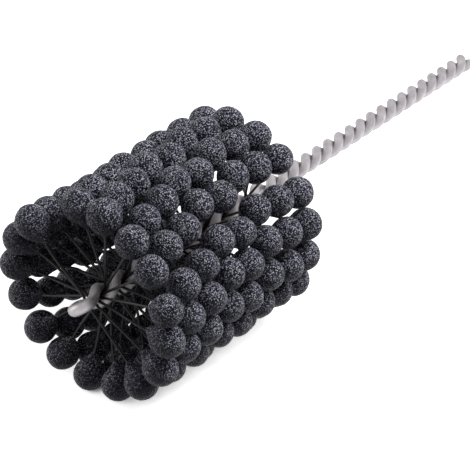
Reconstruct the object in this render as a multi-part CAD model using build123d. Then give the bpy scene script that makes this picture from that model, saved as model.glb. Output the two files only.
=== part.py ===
from build123d import *
import math
import os
import random

# Flexible ball hone. Millimetres, +Z up. X runs along the stem's axis: X = 0 is the drive end that a
# chuck grips, and the hairpin tip is at +X. The hone lies on its balls with the stem level.
# Angles round the stem are measured from +Z towards +Y.

# overall
overall_length = 203.0          # drive end to hairpin tip
ball_circle_radius = 29.5       # stem axis to a ball's centre
ball_dia = 9.3

# balls: row 0 is next to the tip, and the rows run on from each other as one left-handed helix
row_count = 8
balls_per_row = 16
row_pitch = 9.25                # axial step from row to row, and the helix's advance per turn
head_start = 124.9              # X of the ball nearest the drive end
ball_step = 22.3                # degrees from ball to ball in a row
row_phase = (-14.8, -22.3, -25.8, -32.8, -30.1, -36.6, -33.9, -31.2)
column_scatter = 0.6            # degrees, one seeded value for each column of balls
radial_scatter = 0.35           # one seeded value for each ball
ball_groups = {"tip": (0, 1, 2), "mid": (3, 4), "drive": (5, 6, 7)}
collar_reach = 6.3              # ball centre to the end of its collar
collar_end_radius = 0.8
bore_clearance = 0.02           # filament to its blind hole, on the radius
filament_short = 0.3            # the filament stops this short of the hole's end

# nylon filaments, each with a ball on both ends
filament_dia = 0.9
filament_grip = 2.0             # half of the straight length inside the twist
filament_bend_end = 5.4         # distance from the axis where the bend out of the twist ends

# wire: one piece, folded at the tip and twisted on itself
wire_dia = 3.3
strand_gap = 0.06               # between the two strands along the bare stem
grip_gap = 0.05                 # wire to filament, each side
stem_half_pitch = 5.9
head_half_pitch = row_pitch     # the filaments hold the twist open in the head
twist_change_start = 107.0
twist_change_end = 117.0
eye_radius = 2.55               # strand centre to axis where the hairpin bend starts
eye_length = 3.5                # length over which the strands part towards the bend
eye_height = 2.6                # bend's centreline ahead of its start
eye_lead = 8.0                  # degrees that the twist turns on from the last filament to the bend
twist_stop = 5.0                # the twist dies out over this length before the bend
points_per_turn = 14

wire_radius = wire_dia / 2
ball_radius = ball_dia / 2
stem_radius = wire_radius + strand_gap / 2
head_radius = wire_radius + filament_dia / 2 + grip_gap
bend_x = overall_length - wire_radius - eye_height
filaments_per_row = balls_per_row // 2

os.makedirs("parts", exist_ok=True)


def smooth(t):
    t = max(0.0, min(1.0, t))
    return t * t * (3 - 2 * t)


def polar(x, radius, angle):
    return Vector(x, radius * math.sin(angle), radius * math.cos(angle))


# Ball and root places
rng = random.Random(7)
column_offset = [rng.uniform(-column_scatter, column_scatter) for _ in range(balls_per_row)]
ball_places = {}
for row in range(row_count):
    for index in range(balls_per_row):
        x = head_start + row_pitch * (row_count - 1 - row + index / balls_per_row)
        angle = math.radians(row_phase[row] + ball_step * index + column_offset[index])
        radius = ball_circle_radius + rng.uniform(-radial_scatter, radial_scatter)
        ball_places[row, index] = polar(x, radius, angle)

# Wire: the first strand's angle, summed back from the bend
def twist_rate(x):
    share = smooth((x - twist_change_start) / (twist_change_end - twist_change_start))
    rate = math.pi * ((1 - share) / stem_half_pitch + share / head_half_pitch)
    return rate * (1 - smooth((x - bend_x + twist_stop) / twist_stop))


last_filament = math.radians(row_phase[0] + ball_step * (filaments_per_row - 1))
eye_angle = last_filament + math.pi / 2 + math.radians(eye_lead)
grid_count = 2000
grid_step = bend_x / grid_count
angle_grid = [eye_angle]
for i in range(grid_count):
    angle_grid.append(angle_grid[-1] - twist_rate(bend_x - grid_step * (i + 0.5)) * grid_step)


def strand_angle(x):
    place = (bend_x - x) / grid_step
    i = max(0, min(grid_count - 1, int(place)))
    return angle_grid[i] + (angle_grid[i + 1] - angle_grid[i]) * (place - i)


def root(row, index):
    """X and angle of a filament in the twist, where the two strands stand a quarter turn from it."""
    angle = math.radians(row_phase[row] + ball_step * index)
    low, high = 0.0, bend_x
    for _ in range(50):
        x = (low + high) / 2
        if strand_angle(x) < angle + math.pi / 2 - math.pi * row:
            low = x
        else:
            high = x
    return x, angle


def strand_radius(x):
    open_share = smooth((x - twist_change_start) / (twist_change_end - twist_change_start))
    eye_share = smooth((x - bend_x + eye_length) / eye_length)
    return stem_radius + (head_radius - stem_radius) * open_share + (eye_radius - head_radius) * eye_share


turns = (strand_angle(bend_x) - strand_angle(0)) / (2 * math.pi)
samples = round(turns * points_per_turn)
stations = [wire_radius + (bend_x - wire_radius) * i / samples for i in range(samples + 1)]


paths = []
for flip in (0, math.pi):
    paths.append(Spline(*[polar(x, strand_radius(x), strand_angle(x) + flip) for x in stations]))

shoulder = eye_radius * 0.72
bend = Spline(
    paths[0] @ 1,
    polar(bend_x + eye_height * 0.74, shoulder, eye_angle),
    polar(bend_x + eye_height, 0, eye_angle),
    polar(bend_x + eye_height * 0.74, -shoulder, eye_angle),
    paths[1] @ 1,
    tangents=(paths[0] % 1, (paths[1] % 1) * -1),
)
whole_path = Wire([paths[0], bend, paths[1]])
section = Plane(origin=whole_path @ 0, z_dir=whole_path % 0) * Circle(wire_radius)
wire = sweep(section, path=whole_path)
wire = wire.fuse(*[Pos(*(path @ 0)) * Sphere(wire_radius) for path in paths])
export_step(wire, "parts/twisted_wire.step")


# Filaments
def filament(row, index):
    root_x, root_angle = root(row, index)
    ends = []
    for side in (0, 1):
        angle = root_angle + math.pi * side
        centre = ball_places[row, index + filaments_per_row * side]
        grip = polar(root_x, filament_grip, angle)
        outward = (centre - grip).normalized()
        bend_end = grip + outward * (filament_bend_end - filament_grip)
        radial = polar(0, 1, angle)
        ends.append((centre - outward * filament_short, bend_end, grip, outward, radial))
    (tip_a, bend_a, grip_a, out_a, radial_a), (tip_b, bend_b, grip_b, out_b, radial_b) = ends
    path = Wire(
        [
            Edge.make_line(tip_a, bend_a),
            Edge.make_spline([bend_a, grip_a], tangents=[-out_a, -radial_a]),
            Edge.make_line(grip_a, grip_b),
            Edge.make_spline([grip_b, bend_b], tangents=[radial_b, out_b]),
            Edge.make_line(bend_b, tip_b),
        ]
    )
    return sweep(Plane(origin=tip_a, z_dir=-out_a) * Circle(filament_dia / 2), path=path)


# Balls: a sphere with a tapered collar and a blind hole for its filament, +Z outwards
reach = math.hypot(collar_reach, collar_end_radius)
tangent_angle = math.acos(ball_radius / reach) + math.atan2(collar_end_radius, collar_reach)
bore_radius = filament_dia / 2 + bore_clearance
taper_top = (ball_radius * math.sin(tangent_angle), -ball_radius * math.cos(tangent_angle))
side_point = (ball_radius, 0)
with BuildSketch(Plane.XZ) as profile:
    with BuildLine():
        Polyline(
            (0, ball_radius),
            (0, 0),
            (bore_radius, 0),
            (bore_radius, -collar_reach),
            (collar_end_radius, -collar_reach),
            taper_top,
        )
        ThreePointArc(taper_top, side_point, (0, ball_radius))
    make_face()
ball = revolve(profile.sketch, axis=Axis.Z)


def placed_ball(row, index):
    root_x, root_angle = root(row, index % filaments_per_row)
    side = index // filaments_per_row
    grip = polar(root_x, filament_grip, root_angle + math.pi * side)
    centre = ball_places[row, index]
    return Plane(origin=centre, x_dir=(1, 0, 0), z_dir=centre - grip).location * ball


def save(solids, name):
    export_step(Compound(children=solids), f"parts/{name}.step")


for row in range(row_count):
    save([filament(row, index) for index in range(filaments_per_row)], f"filaments_row_{row + 1}")

for index in range(balls_per_row):
    for group, rows in ball_groups.items():
        save([placed_ball(row, index) for row in rows], f"balls_{index + 1:02d}_{group}")
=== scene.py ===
import itertools
import math
import random

import bpy
import numpy as np
from mathutils import Euler, Matrix, Vector


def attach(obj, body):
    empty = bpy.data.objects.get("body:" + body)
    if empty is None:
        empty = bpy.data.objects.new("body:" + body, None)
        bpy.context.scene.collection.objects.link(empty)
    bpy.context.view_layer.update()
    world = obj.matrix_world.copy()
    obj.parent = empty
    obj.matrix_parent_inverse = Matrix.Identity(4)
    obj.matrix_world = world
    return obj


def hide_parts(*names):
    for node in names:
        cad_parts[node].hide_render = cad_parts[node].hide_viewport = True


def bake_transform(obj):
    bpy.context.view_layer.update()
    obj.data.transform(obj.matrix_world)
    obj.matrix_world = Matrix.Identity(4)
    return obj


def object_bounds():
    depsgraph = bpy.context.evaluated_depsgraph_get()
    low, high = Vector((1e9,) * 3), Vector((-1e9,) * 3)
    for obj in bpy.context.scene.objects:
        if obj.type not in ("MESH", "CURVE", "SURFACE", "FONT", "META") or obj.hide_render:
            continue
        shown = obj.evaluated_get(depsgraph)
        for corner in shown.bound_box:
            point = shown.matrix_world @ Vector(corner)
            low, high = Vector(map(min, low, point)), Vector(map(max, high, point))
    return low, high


# A flexible ball hone lying on a pale floor: a folded and twisted steel wire holds nylon filaments,
# and each filament carries a ball of abrasive grit on both ends. Metres, +Z up. X runs along the
# stem from its drive end to the hairpin tip, and angles round it are from +Z towards +Y.

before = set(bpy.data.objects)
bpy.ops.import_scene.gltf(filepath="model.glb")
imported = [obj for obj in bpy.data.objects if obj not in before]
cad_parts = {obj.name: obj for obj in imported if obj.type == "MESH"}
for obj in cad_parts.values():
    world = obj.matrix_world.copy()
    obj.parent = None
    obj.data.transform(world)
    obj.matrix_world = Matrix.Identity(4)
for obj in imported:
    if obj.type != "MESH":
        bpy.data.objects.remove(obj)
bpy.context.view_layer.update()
bpy.ops.object.select_all(action="DESELECT")

MM = 0.001

# Twisted wire. One length of galvanised steel wire is folded in two, and the fold is the hairpin at
# the tip. The two strands are twisted on each other: tightly along the bare stem, and with a longer
# pitch in the head, where the filaments hold them apart. The drive end is sheared and tumbled round.
OVERALL_LENGTH = 203 * MM
WIRE_RADIUS = 1.65 * MM
STEM_STRAND_RADIUS = WIRE_RADIUS + 0.03 * MM
HEAD_STRAND_RADIUS = WIRE_RADIUS + 0.5 * MM
STEM_HALF_PITCH = 5.9 * MM
TWIST_CHANGE = (107 * MM, 117 * MM)
# Half a turn of the head's twist holds one row: eight filaments, with a ball on both ends of each.
ROW_PITCH = 9.25 * MM
BALLS_PER_ROW = 16
FILAMENTS_PER_ROW = BALLS_PER_ROW // 2
BALL_STEP = 22.3
ROW_PHASE = (-14.8, -22.3, -25.8, -32.8, -30.1, -36.6, -33.9, -31.2)
# The hairpin lies a quarter turn and a small lead past the last filament. The strands part towards
# it, and the wire is upset a little thicker round the bend.
EYE_RADIUS = 3.0 * MM
EYE_LENGTH = 3.8 * MM
EYE_HEIGHT = 3.1 * MM
EYE_LEAD = 4.0
EYE_ANGLE = math.radians(ROW_PHASE[0] + BALL_STEP * (FILAMENTS_PER_ROW - 1) + 90 + EYE_LEAD)
TWIST_STOP = 5 * MM
BEND_X = OVERALL_LENGTH - WIRE_RADIUS - EYE_HEIGHT
BEND_SPREAD = 0.14
BEND_STEPS = 24
WIRE_STEP = 0.4 * MM
WIRE_SIDES = 24
DOME_STEPS = 6
DOME_TIP = 0.02
ANGLE_STEPS = 2000
ANGLE_STEP = BEND_X / ANGLE_STEPS
SHARP_EDGE = math.radians(50)


def smooth(t):
    t = min(1.0, max(0.0, t))
    return t * t * (3 - 2 * t)


def polar(x, radius, angle):
    return Vector((x, radius * math.sin(angle), radius * math.cos(angle)))


def opened(x):
    """How far the twist at X has changed from the stem's to the head's, from 0 to 1."""
    return smooth((x - TWIST_CHANGE[0]) / (TWIST_CHANGE[1] - TWIST_CHANGE[0]))


def parted(x):
    """How far the strands at X have parted towards the hairpin, from 0 to 1."""
    return smooth((x - BEND_X + EYE_LENGTH) / EYE_LENGTH)


def twist_rate(x):
    share = opened(x)
    rate = math.pi * ((1 - share) / STEM_HALF_PITCH + share / ROW_PITCH)
    return rate * (1 - smooth((x - BEND_X + TWIST_STOP) / TWIST_STOP))


# The first strand's angle at even steps from the hairpin back to the drive end.
angle_table = [EYE_ANGLE]
for step in range(ANGLE_STEPS):
    angle_table.append(angle_table[-1] - twist_rate(BEND_X - ANGLE_STEP * (step + 0.5)) * ANGLE_STEP)


def strand_angle(x):
    return float(np.interp(BEND_X - x, np.arange(ANGLE_STEPS + 1) * ANGLE_STEP, angle_table))


def strand_radius(x):
    radius = STEM_STRAND_RADIUS + (HEAD_STRAND_RADIUS - STEM_STRAND_RADIUS) * opened(x)
    return radius + (EYE_RADIUS - HEAD_STRAND_RADIUS) * parted(x)


def tube(name, lines, radius, sides):
    """A mesh of round tubes along lines of points, each with its share of the radius. U runs along."""
    curve = bpy.data.curves.new(name, "CURVE")
    curve.dimensions = "3D"
    curve.bevel_depth = radius
    curve.bevel_resolution = sides // 2 - 2
    curve.twist_mode = "MINIMUM"
    curve.use_fill_caps = True
    for line in lines:
        spline = curve.splines.new("POLY")
        spline.points.add(len(line) - 1)
        for target, (point, share) in zip(spline.points, line):
            target.co = (*point, 1.0)
            target.radius = share
    made = bpy.data.objects.new(name, curve)
    bpy.context.scene.collection.objects.link(made)
    bpy.ops.object.select_all(action="DESELECT")
    made.select_set(True)
    bpy.context.view_layer.objects.active = made
    bpy.ops.object.convert(target="MESH")
    bpy.ops.object.shade_smooth_by_angle(angle=SHARP_EDGE)
    return bpy.context.object


def dome(end, before, radius):
    """Points that round off a wire past its end, outermost first."""
    ahead = (end - before).normalized() * radius
    turns = [math.pi / 2 * i / DOME_STEPS for i in range(DOME_STEPS, 0, -1)]
    return [(end + ahead * math.sin(turn), max(DOME_TIP, math.cos(turn))) for turn in turns]


count = round((BEND_X - WIRE_RADIUS) / WIRE_STEP)
xs = [WIRE_RADIUS + (BEND_X - WIRE_RADIUS) * i / count for i in range(count + 1)]
centreline = [polar(x, strand_radius(x), strand_angle(x)) for x in xs]
for i in range(1, BEND_STEPS):
    turn = math.pi * i / BEND_STEPS
    centreline.append(polar(BEND_X + EYE_HEIGHT * math.sin(turn), EYE_RADIUS * math.cos(turn), EYE_ANGLE))
centreline += [polar(x, strand_radius(x), strand_angle(x) + math.pi) for x in reversed(xs)]
wire_line = dome(centreline[0], centreline[1], WIRE_RADIUS)
wire_line += [(point, 1 + BEND_SPREAD * parted(point.x)) for point in centreline]
wire_line += dome(centreline[-1], centreline[-2], WIRE_RADIUS)[::-1]
wire = tube("twisted_wire_visual", [wire_line], WIRE_RADIUS, WIRE_SIDES)

# Galvanised steel: zinc on cold drawn wire. The zinc is a pale dull grey that clouds over patches of
# a few millimetres, and the drawing leaves fine lines along the wire. The real lines are about 0.05 mm
# wide and are drawn as 0.25 mm, so that they show.
STEEL_COLOURS = ("#aaa6a9", "#cfcacd")
STEEL_METALLIC = 0.75
STEEL_ROUGHNESS = 0.5
MOTTLE = 3 * MM
MOTTLE_STOPS = (0.3, 0.7)
STREAK_LENGTH = 9 * MM
STREAK_WIDTH = 0.25 * MM
STREAK_DEPTH = 0.02 * MM


def linear(code):
    """A linear RGBA colour from an sRGB hex value."""
    levels = [int(code[i : i + 2], 16) / 255 for i in (1, 3, 5)]
    return [v / 12.92 if v <= 0.04045 else ((v + 0.055) / 1.055) ** 2.4 for v in levels] + [1.0]


def add_node(tree, kind, inputs=None, stops=None, **settings):
    """A new node. Its inputs are set to values or joined to sockets, and stops are a ramp's colours."""
    made = tree.nodes.new(kind)
    for name, value in settings.items():
        setattr(made, name, value)
    for name, value in (inputs or {}).items():
        if isinstance(value, bpy.types.NodeSocket):
            tree.links.new(value, made.inputs[name])
        else:
            made.inputs[name].default_value = value
    for i, (place, colour) in enumerate(stops or []):
        stop = made.color_ramp.elements[i] if i < 2 else made.color_ramp.elements.new(place)
        stop.position = place
        stop.color = linear(colour)
    return made


def new_material(name):
    """A material with its node tree and its Principled shader."""
    material = bpy.data.materials.new(name)
    material.use_nodes = True
    tree = material.node_tree
    return material, tree, tree.nodes["Principled BSDF"]


def dress(piece, material):
    piece.data.materials.clear()
    piece.data.materials.append(material)


steel, tree, shader = new_material("galvanised_steel_wire")
coordinates = add_node(tree, "ShaderNodeTexCoord")
wire_length = sum((b - a).length for a, b in itertools.pairwise(centreline))
streaks_along = wire_length / STREAK_LENGTH
streaks_round = 2 * math.pi * WIRE_RADIUS / STREAK_WIDTH
unrolled = add_node(
    tree,
    "ShaderNodeVectorMath",
    {0: coordinates.outputs["UV"], 1: (streaks_along, streaks_round, 1.0)},
    operation="MULTIPLY",
)
streaks = add_node(
    tree, "ShaderNodeTexNoise", {"Vector": unrolled.outputs["Vector"], "Scale": 1.0, "Detail": 2.0}
)
mottle = add_node(
    tree,
    "ShaderNodeTexNoise",
    {"Vector": coordinates.outputs["Object"], "Scale": 1 / MOTTLE, "Detail": 6.0, "Roughness": 0.65},
)
steel_ramp = add_node(
    tree,
    "ShaderNodeValToRGB",
    {"Fac": mottle.outputs["Fac"]},
    stops=list(zip(MOTTLE_STOPS, STEEL_COLOURS)),
)
drawn = add_node(
    tree,
    "ShaderNodeBump",
    {"Strength": 0.5, "Distance": STREAK_DEPTH, "Height": streaks.outputs["Fac"]},
)
tree.links.new(steel_ramp.outputs["Color"], shader.inputs["Base Color"])
tree.links.new(drawn.outputs["Normal"], shader.inputs["Normal"])
shader.inputs["Metallic"].default_value = STEEL_METALLIC
shader.inputs["Roughness"].default_value = STEEL_ROUGHNESS
dress(wire, steel)
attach(wire, "stem")
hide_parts("twisted_wire")


# Nylon filaments. Sixty-four straight lengths of extruded black monofilament are caught crosswise between
# the strands as the wire is twisted. Both ends of each carry a ball.
ROW_COUNT = 8
HEAD_START = 124.9 * MM
BALL_CIRCLE_RADIUS = 29.5 * MM
# The real filaments aren't even. Each column of balls has a seeded turn in degrees, and one more that
# follows the photograph, where some columns lean on each other. Each ball is a little in or out.
COLUMN_SCATTER = 0.6
COLUMN_LEAN = (0, 0, 0.8, -0.4, 0.8, -0.8, 0, 0, 0, 0.4, 0.8, -0.4, 0, -0.8, 0, 0)
RADIAL_SCATTER = 0.35 * MM
SCATTER_SEED = 7
# Each column's eight balls move in three groups.
GROUPS = {"tip": (0, 1, 2), "mid": (3, 4), "drive": (5, 6, 7)}
FILAMENT_RADIUS = 0.45 * MM
FILAMENT_SIDES = 8
GRIP = 2.0 * MM
BEND_END = 5.4 * MM
ROOT_BEND_STEPS = 8
ARM_STEPS = 24
BOW = 0.7 * MM
LEAST_BOW = 0.3
ROOT_HALVINGS = 40
# A filament is two pieces that meet at the split.
SPLIT = 10 * MM

# Row 0 is next to the tip, and the rows run on from each other as one left-handed helix of sixteen
# balls a turn. Balls 0 and 8 of a row are on one filament, 1 and 9 on the next.
rng = random.Random(SCATTER_SEED)
column_offset = [rng.uniform(-COLUMN_SCATTER, COLUMN_SCATTER) for _ in range(BALLS_PER_ROW)]
ball_centre = {}
for row in range(ROW_COUNT):
    for index in range(BALLS_PER_ROW):
        x = HEAD_START + ROW_PITCH * (ROW_COUNT - 1 - row + index / BALLS_PER_ROW)
        turn = ROW_PHASE[row] + BALL_STEP * index + column_offset[index] + COLUMN_LEAN[index]
        radius = BALL_CIRCLE_RADIUS + rng.uniform(-RADIAL_SCATTER, RADIAL_SCATTER)
        ball_centre[row, index] = polar(x, radius, math.radians(turn))


def root(row, index):
    """X and angle at which a ball's filament leaves the twist, a quarter turn from the two strands."""
    side, filament = divmod(index, FILAMENTS_PER_ROW)
    angle = math.radians(ROW_PHASE[row] + BALL_STEP * filament)
    low, high = 0.0, BEND_X
    for _ in range(ROOT_HALVINGS):
        x = (low + high) / 2
        if strand_angle(x) < angle + math.pi / 2 - math.pi * row:
            low = x
        else:
            high = x
    return x, angle + math.pi * side


def arm(row, index):
    """The centreline of half a filament, from the stem's axis to its ball, in close steps."""
    x, angle = root(row, index)
    axis, grip = polar(x, 0, angle), polar(x, GRIP, angle)
    outward = (ball_centre[row, index] - grip).normalized()
    radial = polar(0, 1, angle)
    bend_end = grip + outward * (BEND_END - GRIP)
    reach = (bend_end - grip).length
    points = [axis, axis.lerp(grip, 0.5)]
    for i in range(ROOT_BEND_STEPS + 1):
        t = i / ROOT_BEND_STEPS
        a, b = grip + radial * (reach * t), bend_end - outward * (reach * (1 - t))
        points.append(a.lerp(b, smooth(t)))
    length = (ball_centre[row, index] - bend_end).length
    bow = outward.orthogonal().normalized() * (BOW * rng.uniform(LEAST_BOW, 1.0))
    bow.rotate(Matrix.Rotation(rng.uniform(0, 2 * math.pi), 3, outward))
    for i in range(1, ARM_STEPS + 1):
        sway = bow * math.sin(math.pi * i / ARM_STEPS) ** 2
        points.append(bend_end + outward * (length * i / ARM_STEPS) + sway)
    return points


def distance(point):
    return math.hypot(point.y, point.z)


def cut(points, inner):
    """The part of an arm inside or outside the split, with one point on it."""
    for i in range(len(points) - 1):
        a, b = points[i], points[i + 1]
        if distance(a) <= SPLIT < distance(b):
            t = (SPLIT - distance(a)) / (distance(b) - distance(a))
            middle = a.lerp(b, t)
            kept = points[: i + 1] + [middle] if inner else [middle] + points[i + 1 :]
            return [(point, 1.0) for point in kept]


def mean_angle(index, rows):
    """The angle that stands for the balls of some rows of a column."""
    places = [ball_centre[row, index] for row in rows]
    total = sum((Vector((0, p.y, p.z)).normalized() for p in places), Vector())
    return math.atan2(total.y, total.z)


# Nylon monofilament, extruded and coloured through: an even black with a soft satin highlight.
NYLON_COLOUR = "#0b0b0c"
NYLON_ROUGHNESS = 0.32
NYLON_IOR = 1.53
NYLON_SPECULAR = 0.2

nylon, tree, shader = new_material("nylon_monofilament")
shader.inputs["Base Color"].default_value = linear(NYLON_COLOUR)
shader.inputs["Roughness"].default_value = NYLON_ROUGHNESS
shader.inputs["IOR"].default_value = NYLON_IOR
shader.inputs["Specular IOR Level"].default_value = NYLON_SPECULAR

arms = {key: arm(*key) for key in ball_centre}
for index in range(BALLS_PER_ROW):
    lines = [cut(arms[row, index], True) for row in range(ROW_COUNT)]
    piece = tube(f"filament_roots_{index + 1:02d}", lines, FILAMENT_RADIUS, FILAMENT_SIDES)
    dress(piece, nylon)
    angle = mean_angle(index, range(ROW_COUNT))
    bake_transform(piece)
    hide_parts(*[f"filaments_row_{row + 1}" for row in range(ROW_COUNT)])
    for group, rows in GROUPS.items():
        lines = [cut(arms[row, index], False) for row in rows]
        piece = tube(
            f"filament_ends_{index + 1:02d}_{group}", lines, FILAMENT_RADIUS, FILAMENT_SIDES
        )
        dress(piece, nylon)
        angle = mean_angle(index, rows)
        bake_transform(piece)
        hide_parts(*[f"filaments_row_{row + 1}" for row in rows])


# Abrasive balls. Silicon carbide grit in resin is built up round each filament's end by dipping, so
# a ball is round outside and runs down the filament in a short neck, and its skin is grains.
SMALLEST_BALL, LARGEST_BALL = 5.15 * MM, 5.5 * MM
# Neighbours that would run into each other get smaller. How far two balls may share their space: in
# one group, in one column, and in different columns, where they keep a gap.
PRESSED_IN = 1.1 * MM
TOUCHING = 0.7 * MM
CLEAR = 0.15 * MM
BALL_SUBDIVISIONS = 5
# The ball's underside is drawn down twice, in shares of its radius: broadly, and then to a neck.
SHOULDER, SHOULDER_SPREAD = 0.1, 1.2
NECK, NECK_SPREAD = 0.5, 0.75
# Each ball is turned by chance about its filament, and is a little out of round.
FULL_TURN = 6.28
ACROSS = (0.97, 1.0)
ALONG = (0.98, 1.04)
LUMP = 5 * MM
LUMP_RELIEF = 0.3 * MM
GRAIN_CLUSTER = 0.75 * MM
GRAIN_RELIEF = 0.12 * MM

group_of = {row: group for group, rows in GROUPS.items() for row in rows}
ball_radius = {key: rng.uniform(SMALLEST_BALL, LARGEST_BALL) for key in ball_centre}
for a, b in itertools.combinations(ball_centre, 2):
    same_column = a[1] == b[1]
    same_group = same_column and group_of[a[0]] == group_of[b[0]]
    room = (ball_centre[a] - ball_centre[b]).length
    room += PRESSED_IN if same_group else TOUCHING if same_column else -CLEAR
    excess = ball_radius[a] + ball_radius[b] - room
    if excess > 0:
        ball_radius[a] -= excess / 2
        ball_radius[b] -= excess / 2

bpy.ops.mesh.primitive_ico_sphere_add(subdivisions=BALL_SUBDIVISIONS, radius=1.0)
ball = bpy.context.object
ball.name = "ball"
bpy.ops.object.mode_set(mode="EDIT")
bpy.ops.mesh.select_all(action="DESELECT")
bpy.ops.object.mode_set(mode="OBJECT")
lowest = min(ball.data.vertices, key=lambda v: v.co.z)
lowest.select = True
bpy.ops.object.mode_set(mode="EDIT")
bpy.ops.mesh.select_mode(type="VERT")
for pull, falloff, spread in ((SHOULDER, "SMOOTH", SHOULDER_SPREAD), (NECK, "SHARP", NECK_SPREAD)):
    bpy.ops.transform.translate(
        value=(0, 0, -pull),
        use_proportional_edit=True,
        proportional_edit_falloff=falloff,
        proportional_size=spread,
    )
bpy.ops.object.mode_set(mode="OBJECT")

lumps = bpy.data.textures.new("lumps", "CLOUDS")
lumps.noise_scale = LUMP
lumps.noise_depth = 1
grain_relief = bpy.data.textures.new("grain_relief", "VORONOI")
grain_relief.noise_scale = GRAIN_CLUSTER

# Silicon carbide grit, bonded by resin and cured: black with a blue cast and no gloss as a whole. Each
# grain has a tone by chance. Its bright facets are painted glints in the colour, up to white, brightest
# in the grain's middle and darker towards its edges. Real grit is about 0.1 mm, and is drawn coarse, at
# 0.38 mm, to show.
GRAIN = 0.38 * MM
GRAIN_MIDDLE, GRAIN_EDGE = 0.15, 0.65
# How much of a grain's painted glint is left at its edge.
GLINT_EDGE_TONE = 0.1
GRAIN_HEIGHT = 0.18 * MM
# The grit's tones, whose upper stops, up to white, are painted glints on a black grit.
GRIT_AND_GLINT_COLOURS = (
    (0.0, "#060608"),
    (0.1, "#262630"),
    (0.28, "#6c6c7b"),
    (0.5, "#c6c6d6"),
    (0.85, "#ffffff"),
)
GRIT_ROUGHNESS = 0.5
GRIT_SPECULAR = 0.1

grit, tree, shader = new_material("silicon_carbide_grit")
coordinates = add_node(tree, "ShaderNodeTexCoord")
grains = add_node(
    tree, "ShaderNodeTexVoronoi", {"Vector": coordinates.outputs["Object"], "Scale": 1 / GRAIN}
)
chance = add_node(tree, "ShaderNodeSeparateColor", {"Color": grains.outputs["Color"]})
# Painted glint: each grain is painted brightest in its middle and darker towards its edge.
glint_falloff = add_node(
    tree,
    "ShaderNodeMapRange",
    {
        "Value": grains.outputs["Distance"],
        "From Min": GRAIN_MIDDLE,
        "From Max": GRAIN_EDGE,
        "To Min": 1.0,
        "To Max": GLINT_EDGE_TONE,
    },
)
glint = add_node(
    tree, "ShaderNodeMath", {0: chance.outputs["Red"], 1: glint_falloff.outputs["Result"]}, operation="MULTIPLY"
)
# Grit tone by chance with painted glints: grains that come out high are painted near white.
grit_and_glint_ramp = add_node(
    tree,
    "ShaderNodeValToRGB",
    {"Fac": glint.outputs[0]},
    stops=[GRIT_AND_GLINT_COLOURS[0], GRIT_AND_GLINT_COLOURS[-1], *GRIT_AND_GLINT_COLOURS[1:-1]],
)
bump = add_node(
    tree,
    "ShaderNodeBump",
    {"Strength": 1.0, "Distance": GRAIN_HEIGHT, "Height": grains.outputs["Distance"]},
    invert=True,
)
tree.links.new(grit_and_glint_ramp.outputs["Color"], shader.inputs["Base Color"])
tree.links.new(bump.outputs["Normal"], shader.inputs["Normal"])
shader.inputs["Roughness"].default_value = GRIT_ROUGHNESS
shader.inputs["Specular IOR Level"].default_value = GRIT_SPECULAR
ball.data.materials.append(grit)

for index in range(BALLS_PER_ROW):
    for group, rows in GROUPS.items():
        bpy.ops.object.select_all(action="DESELECT")
        copies = []
        for row in rows:
            copy = ball.copy()
            copy.data = ball.data.copy()
            bpy.context.scene.collection.objects.link(copy)
            x, angle = root(row, index)
            centre = ball_centre[row, index]
            outward = (centre - polar(x, GRIP, angle)).normalized()
            spin = Euler((0, 0, rng.uniform(0, FULL_TURN))).to_quaternion()
            turn = outward.to_track_quat("Z", "Y") @ spin
            across, along = rng.uniform(*ACROSS), rng.uniform(*ALONG)
            size = Vector((1.0, across, along)) * ball_radius[row, index]
            copy.matrix_world = Matrix.LocRotScale(centre, turn, size)
            copy.select_set(True)
            copies.append(copy)
        bpy.context.view_layer.objects.active = copies[0]
        bpy.ops.object.join()
        bpy.ops.object.transform_apply(location=True, rotation=True, scale=True)
        piece = bpy.context.object
        piece.name = f"grit_balls_{index + 1:02d}_{group}"
        for texture, depth in ((lumps, LUMP_RELIEF), (grain_relief, -GRAIN_RELIEF)):
            relief = piece.modifiers.new(texture.name, "DISPLACE")
            relief.texture = texture
            relief.texture_coords = "LOCAL"
            relief.strength = depth
            relief.mid_level = 0.5
            bpy.ops.object.modifier_apply(modifier=relief.name)
        bpy.ops.object.shade_smooth()
        node_name = f"balls_{index + 1:02d}_{group}"
        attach(piece, node_name)
        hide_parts(node_name)
bpy.data.objects.remove(ball)


# Floor and background. Both are white to the camera, in gloss and through glass, and send little light
# back to the hone. The floor's white fades only where the hone stands close over it, as its shadow.
WHITE = "#ffffff"
FLOOR_SIZE = 4.0
FLOOR_MIDDLE = 0.1
FLOOR_COLOUR = "#262626"
FLOOR_GLOW = 0.9
SHADE_REACH = 0.04
SHADE_OPENNESS = (0.05, 0.3)
SHADE_SAMPLES = 16
SKY_STRENGTH = 0.02


def seen_directly(tree):
    """A socket that is 1 for camera, glossy and transmission rays, which show the white background."""
    rays = add_node(tree, "ShaderNodeLightPath")
    first = add_node(
        tree,
        "ShaderNodeMath",
        {0: rays.outputs["Is Camera Ray"], 1: rays.outputs["Is Glossy Ray"]},
        operation="MAXIMUM",
    )
    both = add_node(
        tree,
        "ShaderNodeMath",
        {0: first.outputs[0], 1: rays.outputs["Is Transmission Ray"]},
        operation="MAXIMUM",
    )
    return both.outputs[0]


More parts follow.
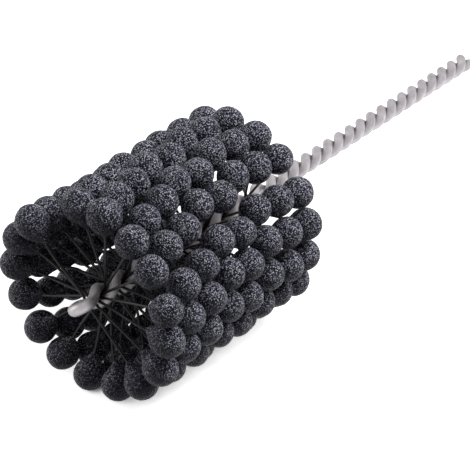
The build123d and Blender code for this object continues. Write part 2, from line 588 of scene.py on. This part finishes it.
lowest_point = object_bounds()[0][2]
bpy.ops.mesh.primitive_plane_add(size=FLOOR_SIZE, location=(FLOOR_MIDDLE, 0, lowest_point))
floor = bpy.context.object
floor.name = "floor"
bpy.ops.object.transform_apply(location=True)
pale, tree, shader = new_material("pale_floor")
direct = seen_directly(tree)
openness = add_node(
    tree, "ShaderNodeAmbientOcclusion", {"Distance": SHADE_REACH}, samples=SHADE_SAMPLES
)
lit = add_node(
    tree,
    "ShaderNodeMapRange",
    {
        "Value": openness.outputs["AO"],
        "From Min": SHADE_OPENNESS[0],
        "From Max": SHADE_OPENNESS[1],
    },
    interpolation_type="SMOOTHSTEP",
)
tone = add_node(
    tree,
    "ShaderNodeMix",
    {"Factor": direct, "A": linear(FLOOR_COLOUR), "B": linear(WHITE)},
    data_type="RGBA",
)
shown = add_node(
    tree, "ShaderNodeMath", {0: direct, 1: lit.outputs["Result"]}, operation="MULTIPLY"
)
glow = add_node(tree, "ShaderNodeMath", {0: shown.outputs[0], 1: FLOOR_GLOW}, operation="MULTIPLY")
tree.links.new(tone.outputs[2], shader.inputs["Base Color"])
tree.links.new(glow.outputs[0], shader.inputs["Emission Strength"])
shader.inputs["Emission Color"].default_value = linear(WHITE)
shader.inputs["Roughness"].default_value = 1.0
shader.inputs["Specular IOR Level"].default_value = 0.0
dress(floor, pale)

world = bpy.data.worlds.new("studio")
bpy.context.scene.world = world
world.use_nodes = True
tree = world.node_tree
sky = tree.nodes["Background"]
strength = add_node(
    tree, "ShaderNodeMapRange", {"Value": seen_directly(tree), "To Min": SKY_STRENGTH, "To Max": 1.0}
)
tree.links.new(strength.outputs["Result"], sky.inputs["Strength"])
sky.inputs["Color"].default_value = linear(WHITE)


# Camera, as the photograph's was placed, and two round soft lamps.
CAMERA_AZIMUTH = math.radians(41.97)
CAMERA_ELEVATION = math.radians(33.24)
CAMERA_ROLL = math.radians(1.76)
CAMERA_DISTANCE = 0.6
CAMERA_CENTRE = Vector((0.15587, 0.02414, 0.01369))
CAMERA_LENS = 151.59
SENSOR_WIDTH = 36
CLIP_START = 0.01
# Each lamp's name, its place right of, above and nearer than the hone as the camera sees it, its
# diameter and its power in watts. Only the side lamp shows as a highlight.
LAMPS = (
    ("key", (0.45, 0.6, -0.05), 0.5, 5.6),
    ("side", (-0.6, 0.25, -0.1), 0.4, 1.25),
)

towards = Vector(
    (
        math.cos(CAMERA_ELEVATION) * math.cos(CAMERA_AZIMUTH),
        math.cos(CAMERA_ELEVATION) * math.sin(CAMERA_AZIMUTH),
        math.sin(CAMERA_ELEVATION),
    )
)
rightwards = Vector((-math.sin(CAMERA_AZIMUTH), math.cos(CAMERA_AZIMUTH), 0))
upwards = Vector((0, 0, 1))

for name, (right, up, near), diameter, power in LAMPS:
    lamp_data = bpy.data.lights.new(name, "AREA")
    lamp_data.shape = "DISK"
    lamp_data.size = diameter
    lamp_data.energy = power
    lamp = bpy.data.objects.new(name, lamp_data)
    bpy.context.scene.collection.objects.link(lamp)
    offset = rightwards * right + upwards * up + towards * near
    lamp.location = CAMERA_CENTRE + offset
    lamp.rotation_euler = (-offset).to_track_quat("-Z", "Y").to_euler()
    lamp.visible_glossy = name == "side"

camera_data = bpy.data.cameras.new("camera")
camera_data.lens = CAMERA_LENS
camera_data.sensor_width = SENSOR_WIDTH
camera_data.clip_start = CLIP_START
camera = bpy.data.objects.new("camera", camera_data)
bpy.context.scene.collection.objects.link(camera)
camera.location = CAMERA_CENTRE + towards * CAMERA_DISTANCE
look = (-towards).to_track_quat("-Z", "Y")
camera.rotation_euler = (look @ Euler((0, 0, -CAMERA_ROLL)).to_quaternion()).to_euler()
bpy.context.scene.camera = camera
bpy.context.scene.view_settings.view_transform = "Standard"
